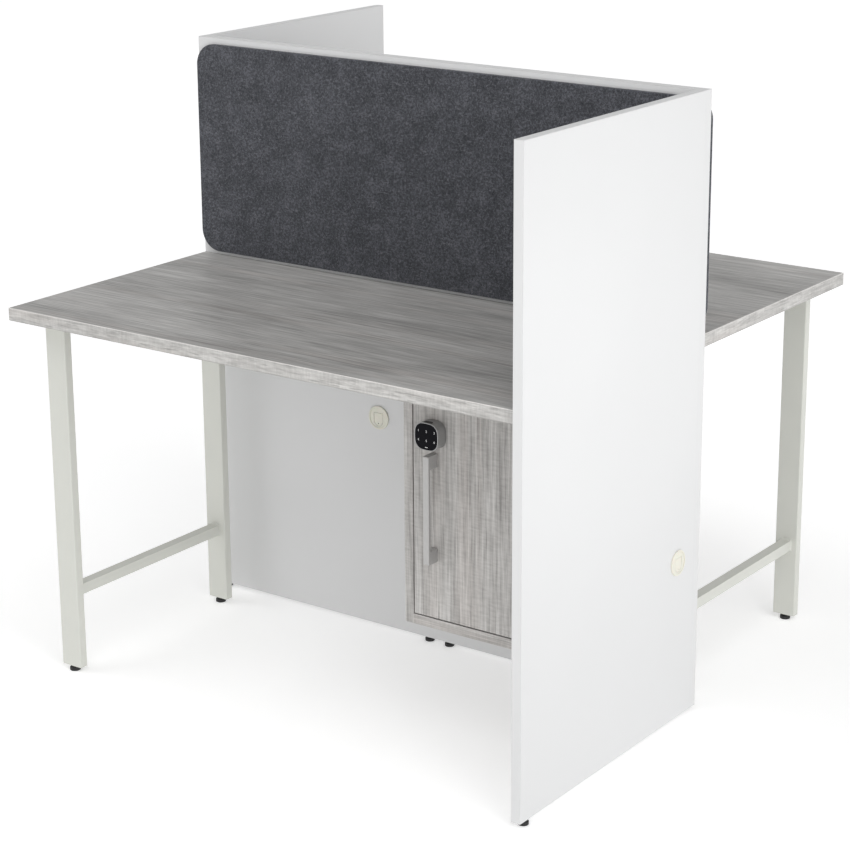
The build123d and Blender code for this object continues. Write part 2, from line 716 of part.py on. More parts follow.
with BuildPart() as hinge_door_leaves:
    x0, x1 = door_right, door_right + leaf_thickness
    for z in hinge_heights:
        block(x0, x1, leaf_front_y, door_rear_y, z - knuckle_end, z + knuckle_end)
        knuckle(x0, x1, z - moving_half, z + moving_half, hinge_pin_radius + running_clearance)
    bore_for_screws(door_leaf_sites)
write_pair(hinge_door_leaves, "hinge_door_leaves")

with BuildPart() as hinge_pins:
    for z in hinge_heights:
        rod((hinge_x, hinge_y, z - knuckle_end), (0, 0, 1), hinge_pin_radius, hinge_height)
        for end, way in ((z + knuckle_end, 1), (z - knuckle_end, -1)):
            rod((hinge_x, hinge_y, end), (0, 0, way), hinge_head_radius, hinge_pin_head)
write_group(hinge_pins, "hinge_pins")

# ---- Keypad cam locks ------------------------------------------------------------------------
with BuildPart() as lock_barrel:
    rod((lock_x, locker_face_y - barrel_flange, lock_z), (0, 1, 0), barrel_flange_radius,
        barrel_flange)
    rod((lock_x, locker_face_y, lock_z), (0, 1, 0), barrel_radius, barrel_end_y - locker_face_y)
    rod((lock_x, locker_face_y - barrel_flange, lock_z), (0, 1, 0),
        spindle_radius + running_clearance, barrel_end_y - locker_face_y + barrel_flange,
        Mode.SUBTRACT)
    with BuildSketch(Plane.XZ.offset(-door_rear_y)):
        with Locations((lock_x, lock_z)):
            RegularPolygon(nut_size / 2, 6, major_radius=False)
            Circle(barrel_radius + nut_clearance, mode=Mode.SUBTRACT)
    extrude(amount=-nut_thickness)
write_pair(lock_barrel, "lock_barrel")

lock_front = Plane(origin=(lock_x, knob_front_y, lock_z), x_dir=(1, 0, 0), z_dir=(0, -1, 0))
flange_recess = barrel_flange - knob_gap + flange_room
rivet_y = cam_y + cam_thickness
with BuildPart() as lock_knob:
    with BuildSketch(lock_front):
        squircle()
    extrude(amount=-knob_depth)
    fillet(lock_knob.faces().sort_by(Axis.Y)[0].edges(), knob_round)
    with BuildSketch(lock_front):
        squircle(knob_rim)
    extrude(amount=-(keypad_recess + keypad_plate), mode=Mode.SUBTRACT)
    with BuildSketch(lock_front):
        squircle(knob_wall)
    extrude(amount=-knob_cavity, mode=Mode.SUBTRACT)
    block(lock_x - notch_width / 2, lock_x + notch_width / 2, knob_front_y + notch_from_front,
          knob_front_y + notch_from_front + notch_length, lock_z + knob_size / 2 - notch_depth,
          lock_z + knob_size / 2, Mode.SUBTRACT)
    rod((lock_x, knob_back_y, lock_z), (0, -1, 0), barrel_flange_radius + flange_room,
        flange_recess, Mode.SUBTRACT)
    rod((lock_x, knob_back_y - flange_recess, lock_z), (0, 1, 0), spindle_radius,
        rivet_y - knob_back_y + flange_recess)
    rod((lock_x, rivet_y, lock_z), (0, 1, 0), rivet_radius, rivet_height)
write_pair(lock_knob, "lock_knob")

with BuildPart() as lock_keypad:
    with BuildSketch(lock_front.offset(-keypad_recess)):
        squircle(knob_rim + keypad_clearance)
    extrude(amount=-keypad_plate)
    with BuildSketch(lock_front.offset(-keypad_recess - keypad_plate)):
        RectangleRounded(module_width, module_height, module_corner)
    extrude(amount=-module_depth)
write_pair(lock_keypad, "lock_keypad")

with BuildPart() as lock_cam:
    with BuildSketch(Plane.XZ.offset(-rivet_y)):
        with Locations((lock_x, lock_z)):
            Circle(cam_eye_radius)
        with Locations((lock_x, lock_z - (cam_reach - cam_width / 2) / 2)):
            Rectangle(cam_width, cam_reach - cam_width / 2)
        with Locations((lock_x, lock_z - cam_reach + cam_width / 2)):
            Circle(cam_width / 2)
        with Locations((lock_x, lock_z)):
            Circle(spindle_radius + cam_clearance, mode=Mode.SUBTRACT)
    extrude(amount=cam_thickness)
write_pair(lock_cam, "lock_cam")

with BuildPart() as lock_strikes:
    z0, z1 = lock_z - strike_height / 2, lock_z + strike_height / 2
    block(locker_left, locker_left + strike_thickness, strike_y, strike_y + strike_flange, z0, z1)
    block(locker_left, locker_left + strike_tab, strike_y, strike_y + strike_thickness, z0, z1)
    bore_for_screws(strike_sites)
write_group(lock_strikes, "lock_strikes")

# ---- Handles and the doors' fasteners --------------------------------------------------------
with BuildPart() as handle:
    handle_front_y = locker_face_y - handle_reach
    low, high = handle_mid_z - handle_length / 2, handle_mid_z + handle_length / 2
    with BuildSketch(Plane.YZ.offset(lock_x - handle_width / 2)):
        with Locations((handle_front_y + handle_reach / 2, handle_mid_z)):
            Rectangle(handle_reach, handle_length)
        fillet(vertices().group_by(Axis.X)[0], handle_outer_round)
        with Locations((locker_face_y - (handle_reach - handle_bar) / 2, handle_mid_z)):
            Rectangle(handle_reach - handle_bar, handle_length - 2 * handle_post,
                      mode=Mode.SUBTRACT)
    extrude(amount=handle_width)
    sides = handle.faces().filter_by(Axis.X)
    fillet(sides.edges(), handle_round)
    for z in bolt_heights:
        rod((lock_x, locker_face_y, z), (0, -1, 0), bolt_radius + bolt_thread_clearance,
            bolt_in_post + bolt_tip_gap, Mode.SUBTRACT)
write_pair(handle, "handle")

with BuildPart() as door_screws:
    for z in bolt_heights:
        rod((lock_x, door_rear_y, z), (0, 1, 0), bolt_head_radius, bolt_head)
    fillet(door_screws.edges().group_by(Axis.Y)[-1], bolt_head / 3)
    for z in bolt_heights:
        rod((lock_x, door_rear_y, z), (0, -1, 0), bolt_radius, door_thickness + bolt_in_post)
    for point, direction, plate in door_leaf_sites:
        screw(point, direction, plate)
write_pair(door_screws, "door_screws")
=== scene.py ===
# Looks of a two-person study carrel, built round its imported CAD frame. Metres, +Z up, floor at Z = 0.
# The spine runs along X, the front station faces -Y and the rear station is its twin, turned half a
# turn about Z. Every board, tube and fitting of the CAD model is kept and gets a procedural material;
# the felt is replaced by softer-edged boards, and small details ride on the CAD bodies.
import json
import math

import bmesh
import bpy
from mathutils import Matrix, Vector


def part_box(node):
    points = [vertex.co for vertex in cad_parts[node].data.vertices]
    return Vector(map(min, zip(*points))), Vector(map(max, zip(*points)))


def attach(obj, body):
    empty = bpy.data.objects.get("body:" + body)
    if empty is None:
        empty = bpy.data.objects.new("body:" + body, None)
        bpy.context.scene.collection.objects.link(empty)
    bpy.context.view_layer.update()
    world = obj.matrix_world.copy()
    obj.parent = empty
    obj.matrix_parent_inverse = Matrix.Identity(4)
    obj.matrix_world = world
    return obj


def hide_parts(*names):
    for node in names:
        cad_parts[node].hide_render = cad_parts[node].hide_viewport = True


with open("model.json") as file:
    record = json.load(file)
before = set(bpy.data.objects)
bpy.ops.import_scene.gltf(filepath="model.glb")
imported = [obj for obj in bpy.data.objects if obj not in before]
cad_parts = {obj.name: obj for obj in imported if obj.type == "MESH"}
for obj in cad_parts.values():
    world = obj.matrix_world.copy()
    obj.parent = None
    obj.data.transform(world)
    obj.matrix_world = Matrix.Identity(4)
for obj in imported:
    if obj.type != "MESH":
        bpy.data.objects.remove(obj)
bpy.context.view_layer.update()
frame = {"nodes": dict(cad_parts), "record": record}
nodes = frame["nodes"]

MM = 0.001
SIDES = (("front", 0.0), ("rear", math.pi))   # each station, and how far it is turned about Z
MIDDLE = (0.3, 0.7)       # the range that most of a noise falls in


# ---- Small helpers for node trees --------------------------------------------------------------
FLAT_LIKENESS = 0.99      # cosine between the rounded and the flat normal on a flat face
ARRIS_LIKENESS = 0.80     # and on an arris


class Shader:
    """A material under construction, with short methods for the nodes that it is made of."""

    def __init__(self, name):
        self.material = bpy.data.materials.new(name)
        self.material.use_nodes = True
        self.tree = self.material.node_tree
        self.surface = self.tree.nodes["Principled BSDF"]
        self.place = self.node("ShaderNodeTexCoord").outputs["Object"]

    def node(self, kind, inputs=None, **settings):
        """A new node with its settings, and its inputs set to values or linked to sockets."""
        made = self.tree.nodes.new(kind)
        for key, value in settings.items():
            setattr(made, key, value)
        for key, value in (inputs or {}).items():
            self.join(made.inputs[key], value)
        return made

    def join(self, socket, value):
        """Link a socket to another, or give it a constant."""
        if isinstance(value, bpy.types.NodeSocket):
            self.tree.links.new(value, socket)
        else:
            socket.default_value = value

    def squeeze(self, scale, place=None):
        """The coordinates, multiplied axis by axis."""
        inputs = {"Vector": place or self.place, "Scale": scale}
        return self.node("ShaderNodeMapping", inputs).outputs["Vector"]

    def turned(self, angles, scale):
        """The coordinates, turned and then multiplied axis by axis."""
        inputs = {"Vector": self.place, "Rotation": angles}
        turn = self.node("ShaderNodeMapping", inputs).outputs["Vector"]
        return self.squeeze(scale, turn)

    def noise(self, place, scale, detail=3.0, roughness=0.5, distortion=0.0):
        """Fractal noise, centred on a half."""
        inputs = {"Vector": place, "Scale": scale, "Detail": detail, "Roughness": roughness,
                  "Distortion": distortion}
        return self.node("ShaderNodeTexNoise", inputs).outputs["Fac"]

    def span(self, value, low, high, to_low=0.0, to_high=1.0):
        """A value stretched from one range to another, clamped at both ends."""
        inputs = {"Value": value, "From Min": low, "From Max": high, "To Min": to_low,
                  "To Max": to_high}
        return self.node("ShaderNodeMapRange", inputs, clamp=True).outputs["Result"]

    def calc(self, operation, a, b=0.0):
        """One arithmetic step."""
        made = self.node("ShaderNodeMath", operation=operation)
        self.join(made.inputs[0], a)
        self.join(made.inputs[1], b)
        return made.outputs["Value"]

    def mix(self, factor, a, b, blend="MIX"):
        """Two colours blended."""
        made = self.node("ShaderNodeMix", data_type="RGBA", blend_type=blend)
        self.join(made.inputs["Factor"], factor)
        colours = [socket for socket in made.inputs if socket.type == "RGBA"]
        self.join(colours[0], a)
        self.join(colours[1], b)
        return [socket for socket in made.outputs if socket.type == "RGBA"][0]

    def ramp(self, factor, stops):
        """A colour ramp through (position, colour) stops."""
        made = self.node("ShaderNodeValToRGB", {"Fac": factor})
        while len(made.color_ramp.elements) < len(stops):
            made.color_ramp.elements.new(0.5)
        for element, (position, colour) in zip(made.color_ramp.elements, stops):
            element.position = position
            element.color = rgba(colour)
        return made.outputs["Color"]

    def bump(self, height, depth, normal=None):
        """Surface relief of a depth in metres."""
        inputs = {"Height": height, "Distance": depth, "Strength": 1.0}
        if normal is not None:
            inputs["Normal"] = normal
        return self.node("ShaderNodeBump", inputs).outputs["Normal"]

    def soft_edges(self, radius):
        """Normals rounded over the arrises, and a mask that is 1 on them."""
        rounded = self.node("ShaderNodeBevel", {"Radius": radius}, samples=4).outputs["Normal"]
        flat = self.node("ShaderNodeNewGeometry").outputs["True Normal"]
        likeness = self.node("ShaderNodeVectorMath", operation="DOT_PRODUCT")
        self.join(likeness.inputs[0], rounded)
        self.join(likeness.inputs[1], flat)
        return rounded, self.span(likeness.outputs["Value"], FLAT_LIKENESS, ARRIS_LIKENESS)

    def painted_crease_shade(self, reach, most):
        """A mask of painted shade in narrow gaps and inner corners, from ambient occlusion, up to a
        greatest weight.
        """
        shut = self.node("ShaderNodeAmbientOcclusion", {"Distance": reach}, samples=6)
        return self.span(shut.outputs["AO"], 0.75, 0.25, 0.0, most)

    def finish(self, colour, roughness, normal, **constants):
        """Connect the surface. The constants stay on the shader's own sockets."""
        self.join(self.surface.inputs["Base Color"], colour)
        self.join(self.surface.inputs["Roughness"], roughness)
        self.join(self.surface.inputs["Normal"], normal)
        for name, value in constants.items():
            self.surface.inputs[name.replace("_", " ")].default_value = value
        return self.material


def rgba(colour):
    """A colour with full alpha."""
    return (*colour[:3], 1.0)


def shade(colour, factor):
    """A colour made darker or lighter, never past white."""
    return rgba([min(1.0, part * factor) for part in colour])


def grey(value, warmth=0.0):
    """A grey, a little warm or cool."""
    return rgba((value * (1 + warmth), value, value * (1 - warmth)))


# ---- Boards --------------------------------------------------------------------------------------
LAMINATE_SPECULAR = 0.45
BLUSH = (1.0, 0.93, 0.90)         # a faint warm tint between the strips of the grain


def white_board(name, tone, arris):
    """White melamine: a fine pebble, faint clouds and specks, and worn, slightly glossier arrises."""
    s = Shader(name)
    rounded, edge = s.soft_edges(arris)
    clouds = s.noise(s.place, 3.5, 2.0)
    pebble = s.noise(s.place, 900.0, 2.0)
    base = s.mix(s.span(clouds, *MIDDLE), grey(tone * 0.985, -0.004), grey(tone, -0.004))
    speck = s.span(s.noise(s.place, 260.0, 1.0), 0.70, 0.78)
    base = s.mix(s.calc("MULTIPLY", speck, 0.06), base, grey(tone * 0.8))
    wear = s.calc("MULTIPLY", edge, s.span(s.noise(s.place, 40.0, 3.0), 0.35, 0.75, 0.05, 0.30))
    base = s.mix(wear, base, grey(tone * 0.80))
    roughness = s.span(pebble, *MIDDLE, 0.40, 0.50)
    roughness = s.calc("SUBTRACT", roughness, s.calc("MULTIPLY", edge, 0.08))
    return s.finish(base, roughness, s.bump(pebble, 0.00003, rounded),
                    Specular_IOR_Level=LAMINATE_SPECULAR)


def axis_scales(along, on_axis, elsewhere):
    """Scales for the coordinates: one along an axis, another across it."""
    return [on_axis if axis == along else elsewhere for axis in "XYZ"]


def wood_colour(s, along, tones, contrast, figure, draw=0.035):
    """Grey wood grain: broad flames, streaks, strips, fine lines and a faint cross ripple, with a
    warm blush and dark pores. Gives the colour, the whole value, the lines and the ripple."""
    drawn = s.squeeze(axis_scales(along, draw, 1.0))
    rippled = s.squeeze(axis_scales(along, 1.0, 0.22))
    broad = s.squeeze(axis_scales(along, 0.22, 1.0))
    flames = s.noise(broad, 8.0, 3.0, 0.5, 0.6)
    streaks = s.noise(drawn, 70.0, 3.0, 0.60, 0.30)
    strips = s.noise(drawn, 185.0, 2.0, 0.60, 0.1)
    lines = s.noise(drawn, 330.0, 3.0, 0.70, 0.1)
    hairs = s.noise(drawn, 900.0, 2.0, 0.6)
    ripple = s.noise(rippled, 230.0, 2.0, 0.6)
    weights = ((flames, figure), (streaks, 0.22 - figure / 2), (strips, 0.34),
               (lines, 0.22), (hairs, 0.05), (ripple, 0.17 - figure / 2))
    value = 0.0
    for part, weight in weights:
        value = s.calc("ADD", value, s.calc("MULTIPLY", part, weight))
    dark, middle, light = tones
    half = contrast / 2
    stops = [(0.5 - half, dark), (0.5, middle), (0.5 + half, light)]
    colour = s.ramp(value, stops)
    blush = s.span(s.noise(drawn, 26.0, 2.0), 0.50, 0.66, 0.0, 0.30)
    colour = s.mix(blush, colour, rgba(BLUSH), "MULTIPLY")
    pores = s.span(s.noise(drawn, 300.0, 1.0, 0.5), 0.60, 0.72)
    colour = s.mix(s.calc("MULTIPLY", pores, 0.45), colour, shade(dark, 0.62))
    return colour, value, lines, ripple


def wood_board(name, along, tones, contrast, figure, arris=0.0006):
    """A wood-grain laminate: printed grain with a light emboss that follows it."""
    s = Shader(name)
    rounded, edge = s.soft_edges(arris)
    colour, value, lines, ripple = wood_colour(s, along, tones, contrast, figure)
    wear = s.calc("MULTIPLY", edge, s.span(lines, *MIDDLE, 0.25, 0.60))
    colour = s.mix(wear, colour, shade(tones[2], 1.25))
    emboss = s.calc("ADD", s.calc("MULTIPLY", lines, 0.7), s.calc("MULTIPLY", ripple, 0.3))
    roughness = s.span(value, 0.35, 0.65, 0.50, 0.38)
    return s.finish(colour, roughness, s.bump(emboss, 0.00010, rounded),
                    Specular_IOR_Level=LAMINATE_SPECULAR)


def wood_band(name, tones, contrast, figure):
    """Edge band of the desktops: its grain runs along X on the long edges and along Y on the ends, with
    a painted highlight as a pale line along the top arris, lighter arrises, and a dark foot."""
    s = Shader(name)
    rounded, edge = s.soft_edges(0.0008)
    long_way, _, lines, ripple = wood_colour(s, "X", tones, contrast, figure, draw=0.10)
    end_way = wood_colour(s, "Y", tones, contrast, figure, draw=0.10)[0]
    flat = s.node("ShaderNodeNewGeometry").outputs["True Normal"]
    sideways = s.node("ShaderNodeSeparateXYZ", {"Vector": flat}).outputs["X"]
    colour = s.mix(s.span(s.calc("ABSOLUTE", sideways), 0.65, 0.75), long_way, end_way)
    desk_low, desk_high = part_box("front_desktop")
    height = s.node("ShaderNodeSeparateXYZ", {"Vector": s.place}).outputs["Z"]
    painted_top_highlight = s.span(height, desk_high.z - 1.5 * MM, desk_high.z - 1.1 * MM)
    foot = s.span(height, desk_low.z + 2.2 * MM, desk_low.z + 1.2 * MM)
    colour = s.mix(s.calc("MULTIPLY", foot, 0.5), colour, shade(tones[0], 0.8))
    # painted highlight: a pale line over the top 1.1 to 1.5 mm of the band and lighter arrises, for the
    # light caught by the rounded edges
    colour = s.mix(s.calc("MULTIPLY", painted_top_highlight, 0.55), colour, shade(tones[2], 1.3))
    colour = s.mix(s.calc("MULTIPLY", edge, 0.45), colour, shade(tones[2], 1.3))
    emboss = s.calc("ADD", s.calc("MULTIPLY", lines, 0.6), s.calc("MULTIPLY", ripple, 0.4))
    return s.finish(colour, 0.46, s.bump(emboss, 0.00008, rounded),
                    Specular_IOR_Level=LAMINATE_SPECULAR)


def hardboard(name, tone):
    """The locker's thin back panel: fine fibres under a pale paper face."""
    s = Shader(name)
    fibres = s.noise(s.squeeze((1.0, 1.0, 0.3)), 420.0, 3.0, 0.7, 0.4)
    mottle = s.noise(s.place, 30.0, 3.0)
    colour = s.mix(s.span(fibres, 0.35, 0.65), grey(tone * 0.86, 0.02), grey(tone, 0.02))
    colour = s.mix(s.calc("MULTIPLY", mottle, 0.15), colour, grey(tone * 0.75, 0.03))
    return s.finish(colour, s.span(fibres, *MIDDLE, 0.60, 0.75), s.bump(fibres, 0.00006))


def raw_beech(name):
    """Turned beech dowels with short flecks along the grain."""
    s = Shader(name)
    drawn = s.squeeze((0.1, 0.4, 1.0))
    fleck = s.span(s.noise(drawn, 600.0, 2.0), 0.60, 0.70)
    grain = s.noise(drawn, 160.0, 3.0)
    colour = s.mix(grain, rgba((0.62, 0.45, 0.28)), rgba((0.74, 0.58, 0.39)))
    colour = s.mix(s.calc("MULTIPLY", fleck, 0.5), colour, rgba((0.42, 0.26, 0.14)))
    return s.finish(colour, s.span(grain, *MIDDLE, 0.55, 0.68), s.bump(grain, 0.00008))


# ---- Felt ----------------------------------------------------------------------------------------
FIBRE_LAYERS = 6


def heather_felt(name):
    """Pressed felt: dark and light fibres lying every way, clumped, with a soft pilled surface."""
    s = Shader(name)
    dark = (0.024, 0.026, 0.031)
    middle = (0.058, 0.060, 0.069)
    light = (0.21, 0.215, 0.235)
    clumps = s.noise(s.place, 210.0, 4.0, 0.66, 0.6)
    patches = s.noise(s.place, 28.0, 3.0, 0.5)
    value = s.calc("ADD", s.calc("MULTIPLY", clumps, 0.75), s.calc("MULTIPLY", patches, 0.25))
    colour = s.ramp(value, [(0.34, dark), (0.50, middle), (0.63, shade(middle, 2.1))])
    height = s.calc("MULTIPLY", clumps, 0.6)
    for turn in range(FIBRE_LAYERS):
        angle = turn * math.pi / FIBRE_LAYERS
        lying = s.turned((0.15 * turn, angle, 0.1 * turn), (0.24, 1.0, 1.0))
        strands = s.noise(lying, 430.0 + 55.0 * turn, 2.0, 0.6, 0.6)
        pale = turn % 2 == 0
        thread = s.span(strands, 0.60, 0.70)
        tint, weight = (light, 0.48) if pale else (dark, 0.60)
        colour = s.mix(s.calc("MULTIPLY", thread, weight), colour, rgba(tint))
        height = s.calc("ADD", height, s.calc("MULTIPLY", thread, 0.16))
    fuzz = s.noise(s.place, 1500.0, 2.0)
    height = s.calc("ADD", height, s.calc("MULTIPLY", fuzz, 0.25))
    return s.finish(colour, s.span(fuzz, *MIDDLE, 0.86, 0.97), s.bump(height, 0.0007),
                    Specular_IOR_Level=0.22, Sheen_Weight=0.22, Sheen_Roughness=0.55,
                    Sheen_Tint=(0.60, 0.61, 0.65, 1.0))


# ---- Metals --------------------------------------------------------------------------------------
def powder_coat(name, tint):
    """Powder-coated steel: fine orange peel, a few specks, thinner and shinier on the corners."""
    s = Shader(name)
    rounded, edge = s.soft_edges(0.0010)
    peel = s.noise(s.place, 520.0, 2.0, 0.4)
    clouds = s.noise(s.place, 12.0, 3.0)
    colour = s.mix(s.span(clouds, *MIDDLE), shade(tint, 0.97), shade(tint, 1.0))
    speck = s.span(s.noise(s.place, 800.0, 1.0), 0.70, 0.76)
    colour = s.mix(s.calc("MULTIPLY", speck, 0.12), colour, shade(tint, 0.7))
    colour = s.mix(s.calc("MULTIPLY", edge, 0.5), colour, shade(tint, 1.2))
    roughness = s.calc("SUBTRACT", s.span(peel, *MIDDLE, 0.36, 0.46), s.calc("MULTIPLY", edge, 0.1))
    return s.finish(colour, roughness, s.bump(peel, 0.00006, rounded),
                    Coat_Weight=0.12, Coat_Roughness=0.25)


def brushed_metal(name, tone, along, warmth, gloss, metallic=1.0):
    """Satin metal with fine brush lines, darker in its worn patches."""
    s = Shader(name)
    rounded, edge = s.soft_edges(0.0004)
    lines = s.noise(s.squeeze(axis_scales(along, 0.035, 1.0)), 2600.0, 2.0, 0.6)
    smears = s.noise(s.place, 55.0, 3.0)
    colour = s.mix(s.span(lines, *MIDDLE), grey(tone * 0.82, warmth), grey(tone, warmth))
    colour = s.mix(s.calc("MULTIPLY", smears, 0.25), colour, grey(tone * 0.75, warmth))
    colour = s.mix(s.calc("MULTIPLY", edge, 0.5), colour, grey(min(1.0, tone * 1.25), warmth))
    roughness = s.span(lines, *MIDDLE, gloss, gloss + 0.14)
    return s.finish(colour, roughness, s.bump(lines, 0.00002, rounded), Metallic=metallic)


def zinc_plate(name, tone, scale):
    """Bright zinc plating with a faint spangle."""
    s = Shader(name)
    spangle = s.node("ShaderNodeTexVoronoi", {"Vector": s.place, "Scale": scale}).outputs["Distance"]
    haze = s.noise(s.place, 300.0, 3.0)
    colour = s.mix(s.span(spangle, 0.1, 0.7), grey(tone * 0.86, -0.01), grey(tone, -0.01))
    colour = s.mix(s.calc("MULTIPLY", haze, 0.2), colour, grey(tone * 0.7))
    return s.finish(colour, s.span(haze, *MIDDLE, 0.28, 0.42), s.bump(haze, 0.00002), Metallic=1.0)


# ---- Plastics ------------------------------------------------------------------------------------
def moulded(name, colour, low, high, scale, depth, **constants):
    """Moulded plastic: a fine spark-eroded texture, slightly polished arrises and painted shade
    darkening its gaps and inner corners.
    """
    s = Shader(name)
    rounded, edge = s.soft_edges(0.0005)
    texture = s.noise(s.place, scale, 2.0, 0.5)
    cloud = s.noise(s.place, 45.0, 2.0)
    tint = s.mix(s.span(cloud, *MIDDLE), shade(colour, 0.94), shade(colour, 1.0))
    tint = s.mix(s.calc("MULTIPLY", edge, 0.4), tint, shade(colour, 1.15))
    # painted shade: ambient occlusion darkens the narrow gaps and inner corners of the plastic
    tint = s.mix(s.painted_crease_shade(2.0 * MM, 0.55), tint, shade(colour, 0.45))
    roughness = s.span(texture, *MIDDLE, low, high)
    return s.finish(tint, roughness, s.bump(texture, depth, rounded), **constants)


def glossy_panel(name):
    """The keypad's touch panel: near-black, glossy, with faint wipe marks."""
    s = Shader(name)
    wipes = s.noise(s.squeeze((1.0, 1.0, 0.25)), 150.0, 3.0, 0.6, 0.8)
    dust = s.span(s.noise(s.place, 1900.0, 1.0), 0.72, 0.80)
    colour = s.mix(s.calc("MULTIPLY", dust, 0.05), rgba((0.006, 0.006, 0.008)), grey(0.25))
    roughness = s.span(wipes, 0.35, 0.70, 0.10, 0.20)
    return s.finish(colour, roughness, s.bump(wipes, 0.000004), Specular_IOR_Level=0.06)


def printed_ink(name, tone):
    """White print on the touch panel."""
    s = Shader(name)
    grain = s.noise(s.place, 2500.0, 2.0)
    colour = s.mix(grain, grey(tone * 0.9), grey(tone))
    return s.finish(colour, s.span(grain, *MIDDLE, 0.35, 0.5), s.bump(grain, 0.000004))


# ---- The palette, one entry for each finish ------------------------------------------------------
DESK_TONES = ((0.240, 0.235, 0.229), (0.398, 0.391, 0.381), (0.560, 0.551, 0.537))
DOOR_TONES = ((0.300, 0.288, 0.276), (0.470, 0.456, 0.440), (0.620, 0.606, 0.588))
BAND_TONES = ((0.320, 0.312, 0.300), (0.500, 0.490, 0.474), (0.690, 0.680, 0.658))
LOCKER_GRAIN = {"contrast": 0.20, "figure": 0.08}

palette = {
    "white_laminate": white_board("white_laminate", tone=0.722, arris=0.5 * MM),
    "white_edge_band": white_board("white_edge_band", tone=0.715, arris=0.7 * MM),
    "desk_laminate": wood_board("desk_laminate", "X", DESK_TONES, contrast=0.21, figure=0.28),
    "desk_edge_band": wood_band("desk_edge_band", BAND_TONES, contrast=0.28, figure=0.04),
    "door_laminate": wood_board("door_laminate", "Z", DOOR_TONES, **LOCKER_GRAIN),
    "locker_upright": wood_board("locker_upright", "Z", DOOR_TONES, **LOCKER_GRAIN),
    "locker_level": wood_board("locker_level", "X", DOOR_TONES, **LOCKER_GRAIN),
    "back_board": hardboard("back_board", tone=0.55),
    "felt": heather_felt("felt"),
    "painted_steel": powder_coat("painted_steel", (0.662, 0.669, 0.620)),
    "cream_plastic": moulded("cream_plastic", (0.78, 0.765, 0.67), low=0.34, high=0.46,
                             scale=900.0, depth=0.02 * MM,
                             Subsurface_Weight=0.08, Subsurface_Scale=2.0 * MM),
    "black_nylon": moulded("black_nylon", (0.012, 0.012, 0.013), low=0.42, high=0.58,
                           scale=700.0, depth=0.05 * MM),
    "zinc_insert": zinc_plate("zinc_insert", tone=0.55, scale=900.0),
    "beech": raw_beech("beech"),
    "keypad_gloss": glossy_panel("keypad_gloss"),
    "knob_metal": brushed_metal("knob_metal", 0.46, "Y", warmth=0.0, gloss=0.34, metallic=0.8),
    "satin_nickel": brushed_metal("satin_nickel", 0.55, "Z", warmth=0.012, gloss=0.42, metallic=0.55),
    "lock_brass": brushed_metal("lock_brass", 0.50, "X", warmth=0.01, gloss=0.28),
    "plated_steel": zinc_plate("plated_steel", tone=0.58, scale=1200.0),
    "hinge_steel": brushed_metal("hinge_steel", 0.55, "Z", warmth=0.006, gloss=0.26),
    "screw_steel": zinc_plate("screw_steel", tone=0.60, scale=2000.0),
    "ink": printed_ink("ink", tone=0.85),
}

# ---- Finishes of the CAD nodes -------------------------------------------------------------------
slot_of = {part["node"]: part["material_slot"] for part in frame["record"]["subparts"]}
for name, node in nodes.items():
    finish = slot_of[name]
    if finish == "locker_laminate":
        level = name.endswith("bottom") or name.endswith("tops")
        finish = "locker_level" if level else "locker_upright"
    node.data.materials.clear()
    node.data.materials.append(palette[finish])


# ---- Making pieces -------------------------------------------------------------------------------
def piece_from(work, name, body, finish):
    """The mesh under work as a finished piece that rides on a body."""
    mesh = bpy.data.meshes.new(name)
    work.to_mesh(mesh)
    work.free()
    made = bpy.data.objects.new(name, mesh)
    bpy.context.scene.collection.objects.link(made)
    mesh.materials.append(palette[finish])
    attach(made, body)
    return made


def rounded_outline(width, height, radius, steps):
    """Points round a rectangle with round corners, centred on the origin."""
    points = []
    for corner, (sx, sy) in enumerate(((1, 1), (-1, 1), (-1, -1), (1, -1))):
        for step in range(steps + 1):
            angle = math.pi / 2 * (corner + step / steps)
            points.append((sx * (width / 2 - radius) + radius * math.cos(angle),
                           sy * (height / 2 - radius) + radius * math.sin(angle)))
    return points


def skin(work, rings, closed=False):
    """Faces through rings of vertices, which end in caps or close on themselves."""
    following = rings[1:] + rings[:1] if closed else rings[1:]
    for ring, after in zip(rings, following):
        for i, vertex in enumerate(ring):
            j = (i + 1) % len(ring)
            work.faces.new((vertex, ring[j], after[j], after[i]))
    if not closed:
        work.faces.new(rings[0][::-1])
        work.faces.new(rings[-1])


# ---- Felt tackboards -----------------------------------------------------------------------------
FELT_CORNER = 45 * MM
FELT_CORNER_STEPS = 16
FELT_EDGE = 2.2 * MM              # radius of the rolled edge
FELT_EDGE_STEPS = 5


def felt_board(name, turn):
    """A pressed felt board with a rolled edge, flat at the back where it is glued to the spine."""
    low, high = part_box(f"{name}_tackboard")
    middle = (low + high) / 2
    size = high - low
    levels = [(-size.y / 2, 0.0)]
    for step in range(FELT_EDGE_STEPS + 1):
        angle = math.pi / 2 * step / FELT_EDGE_STEPS
        levels.append((size.y / 2 - FELT_EDGE * (1 - math.sin(angle)),
                       FELT_EDGE * (1 - math.cos(angle))))
    work = bmesh.new()
    rings = []
    for out, shrink in levels:
        outline = rounded_outline(size.x - 2 * shrink, size.z - 2 * shrink, FELT_CORNER - shrink,
                                  FELT_CORNER_STEPS)
        rings.append([work.verts.new((x, -out, z)) for x, z in outline])
    skin(work, rings)
    bmesh.ops.recalc_face_normals(work, faces=work.faces)
    for face in work.faces:
        face.smooth = len(face.verts) == 4
    bmesh.ops.transform(work, verts=work.verts,
                        matrix=Matrix.Translation(middle) @ Matrix.Rotation(turn, 4, "Z"))
    board = piece_from(work, f"{name}_felt", "carrel", "felt")
    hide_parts(f"{name}_tackboard")


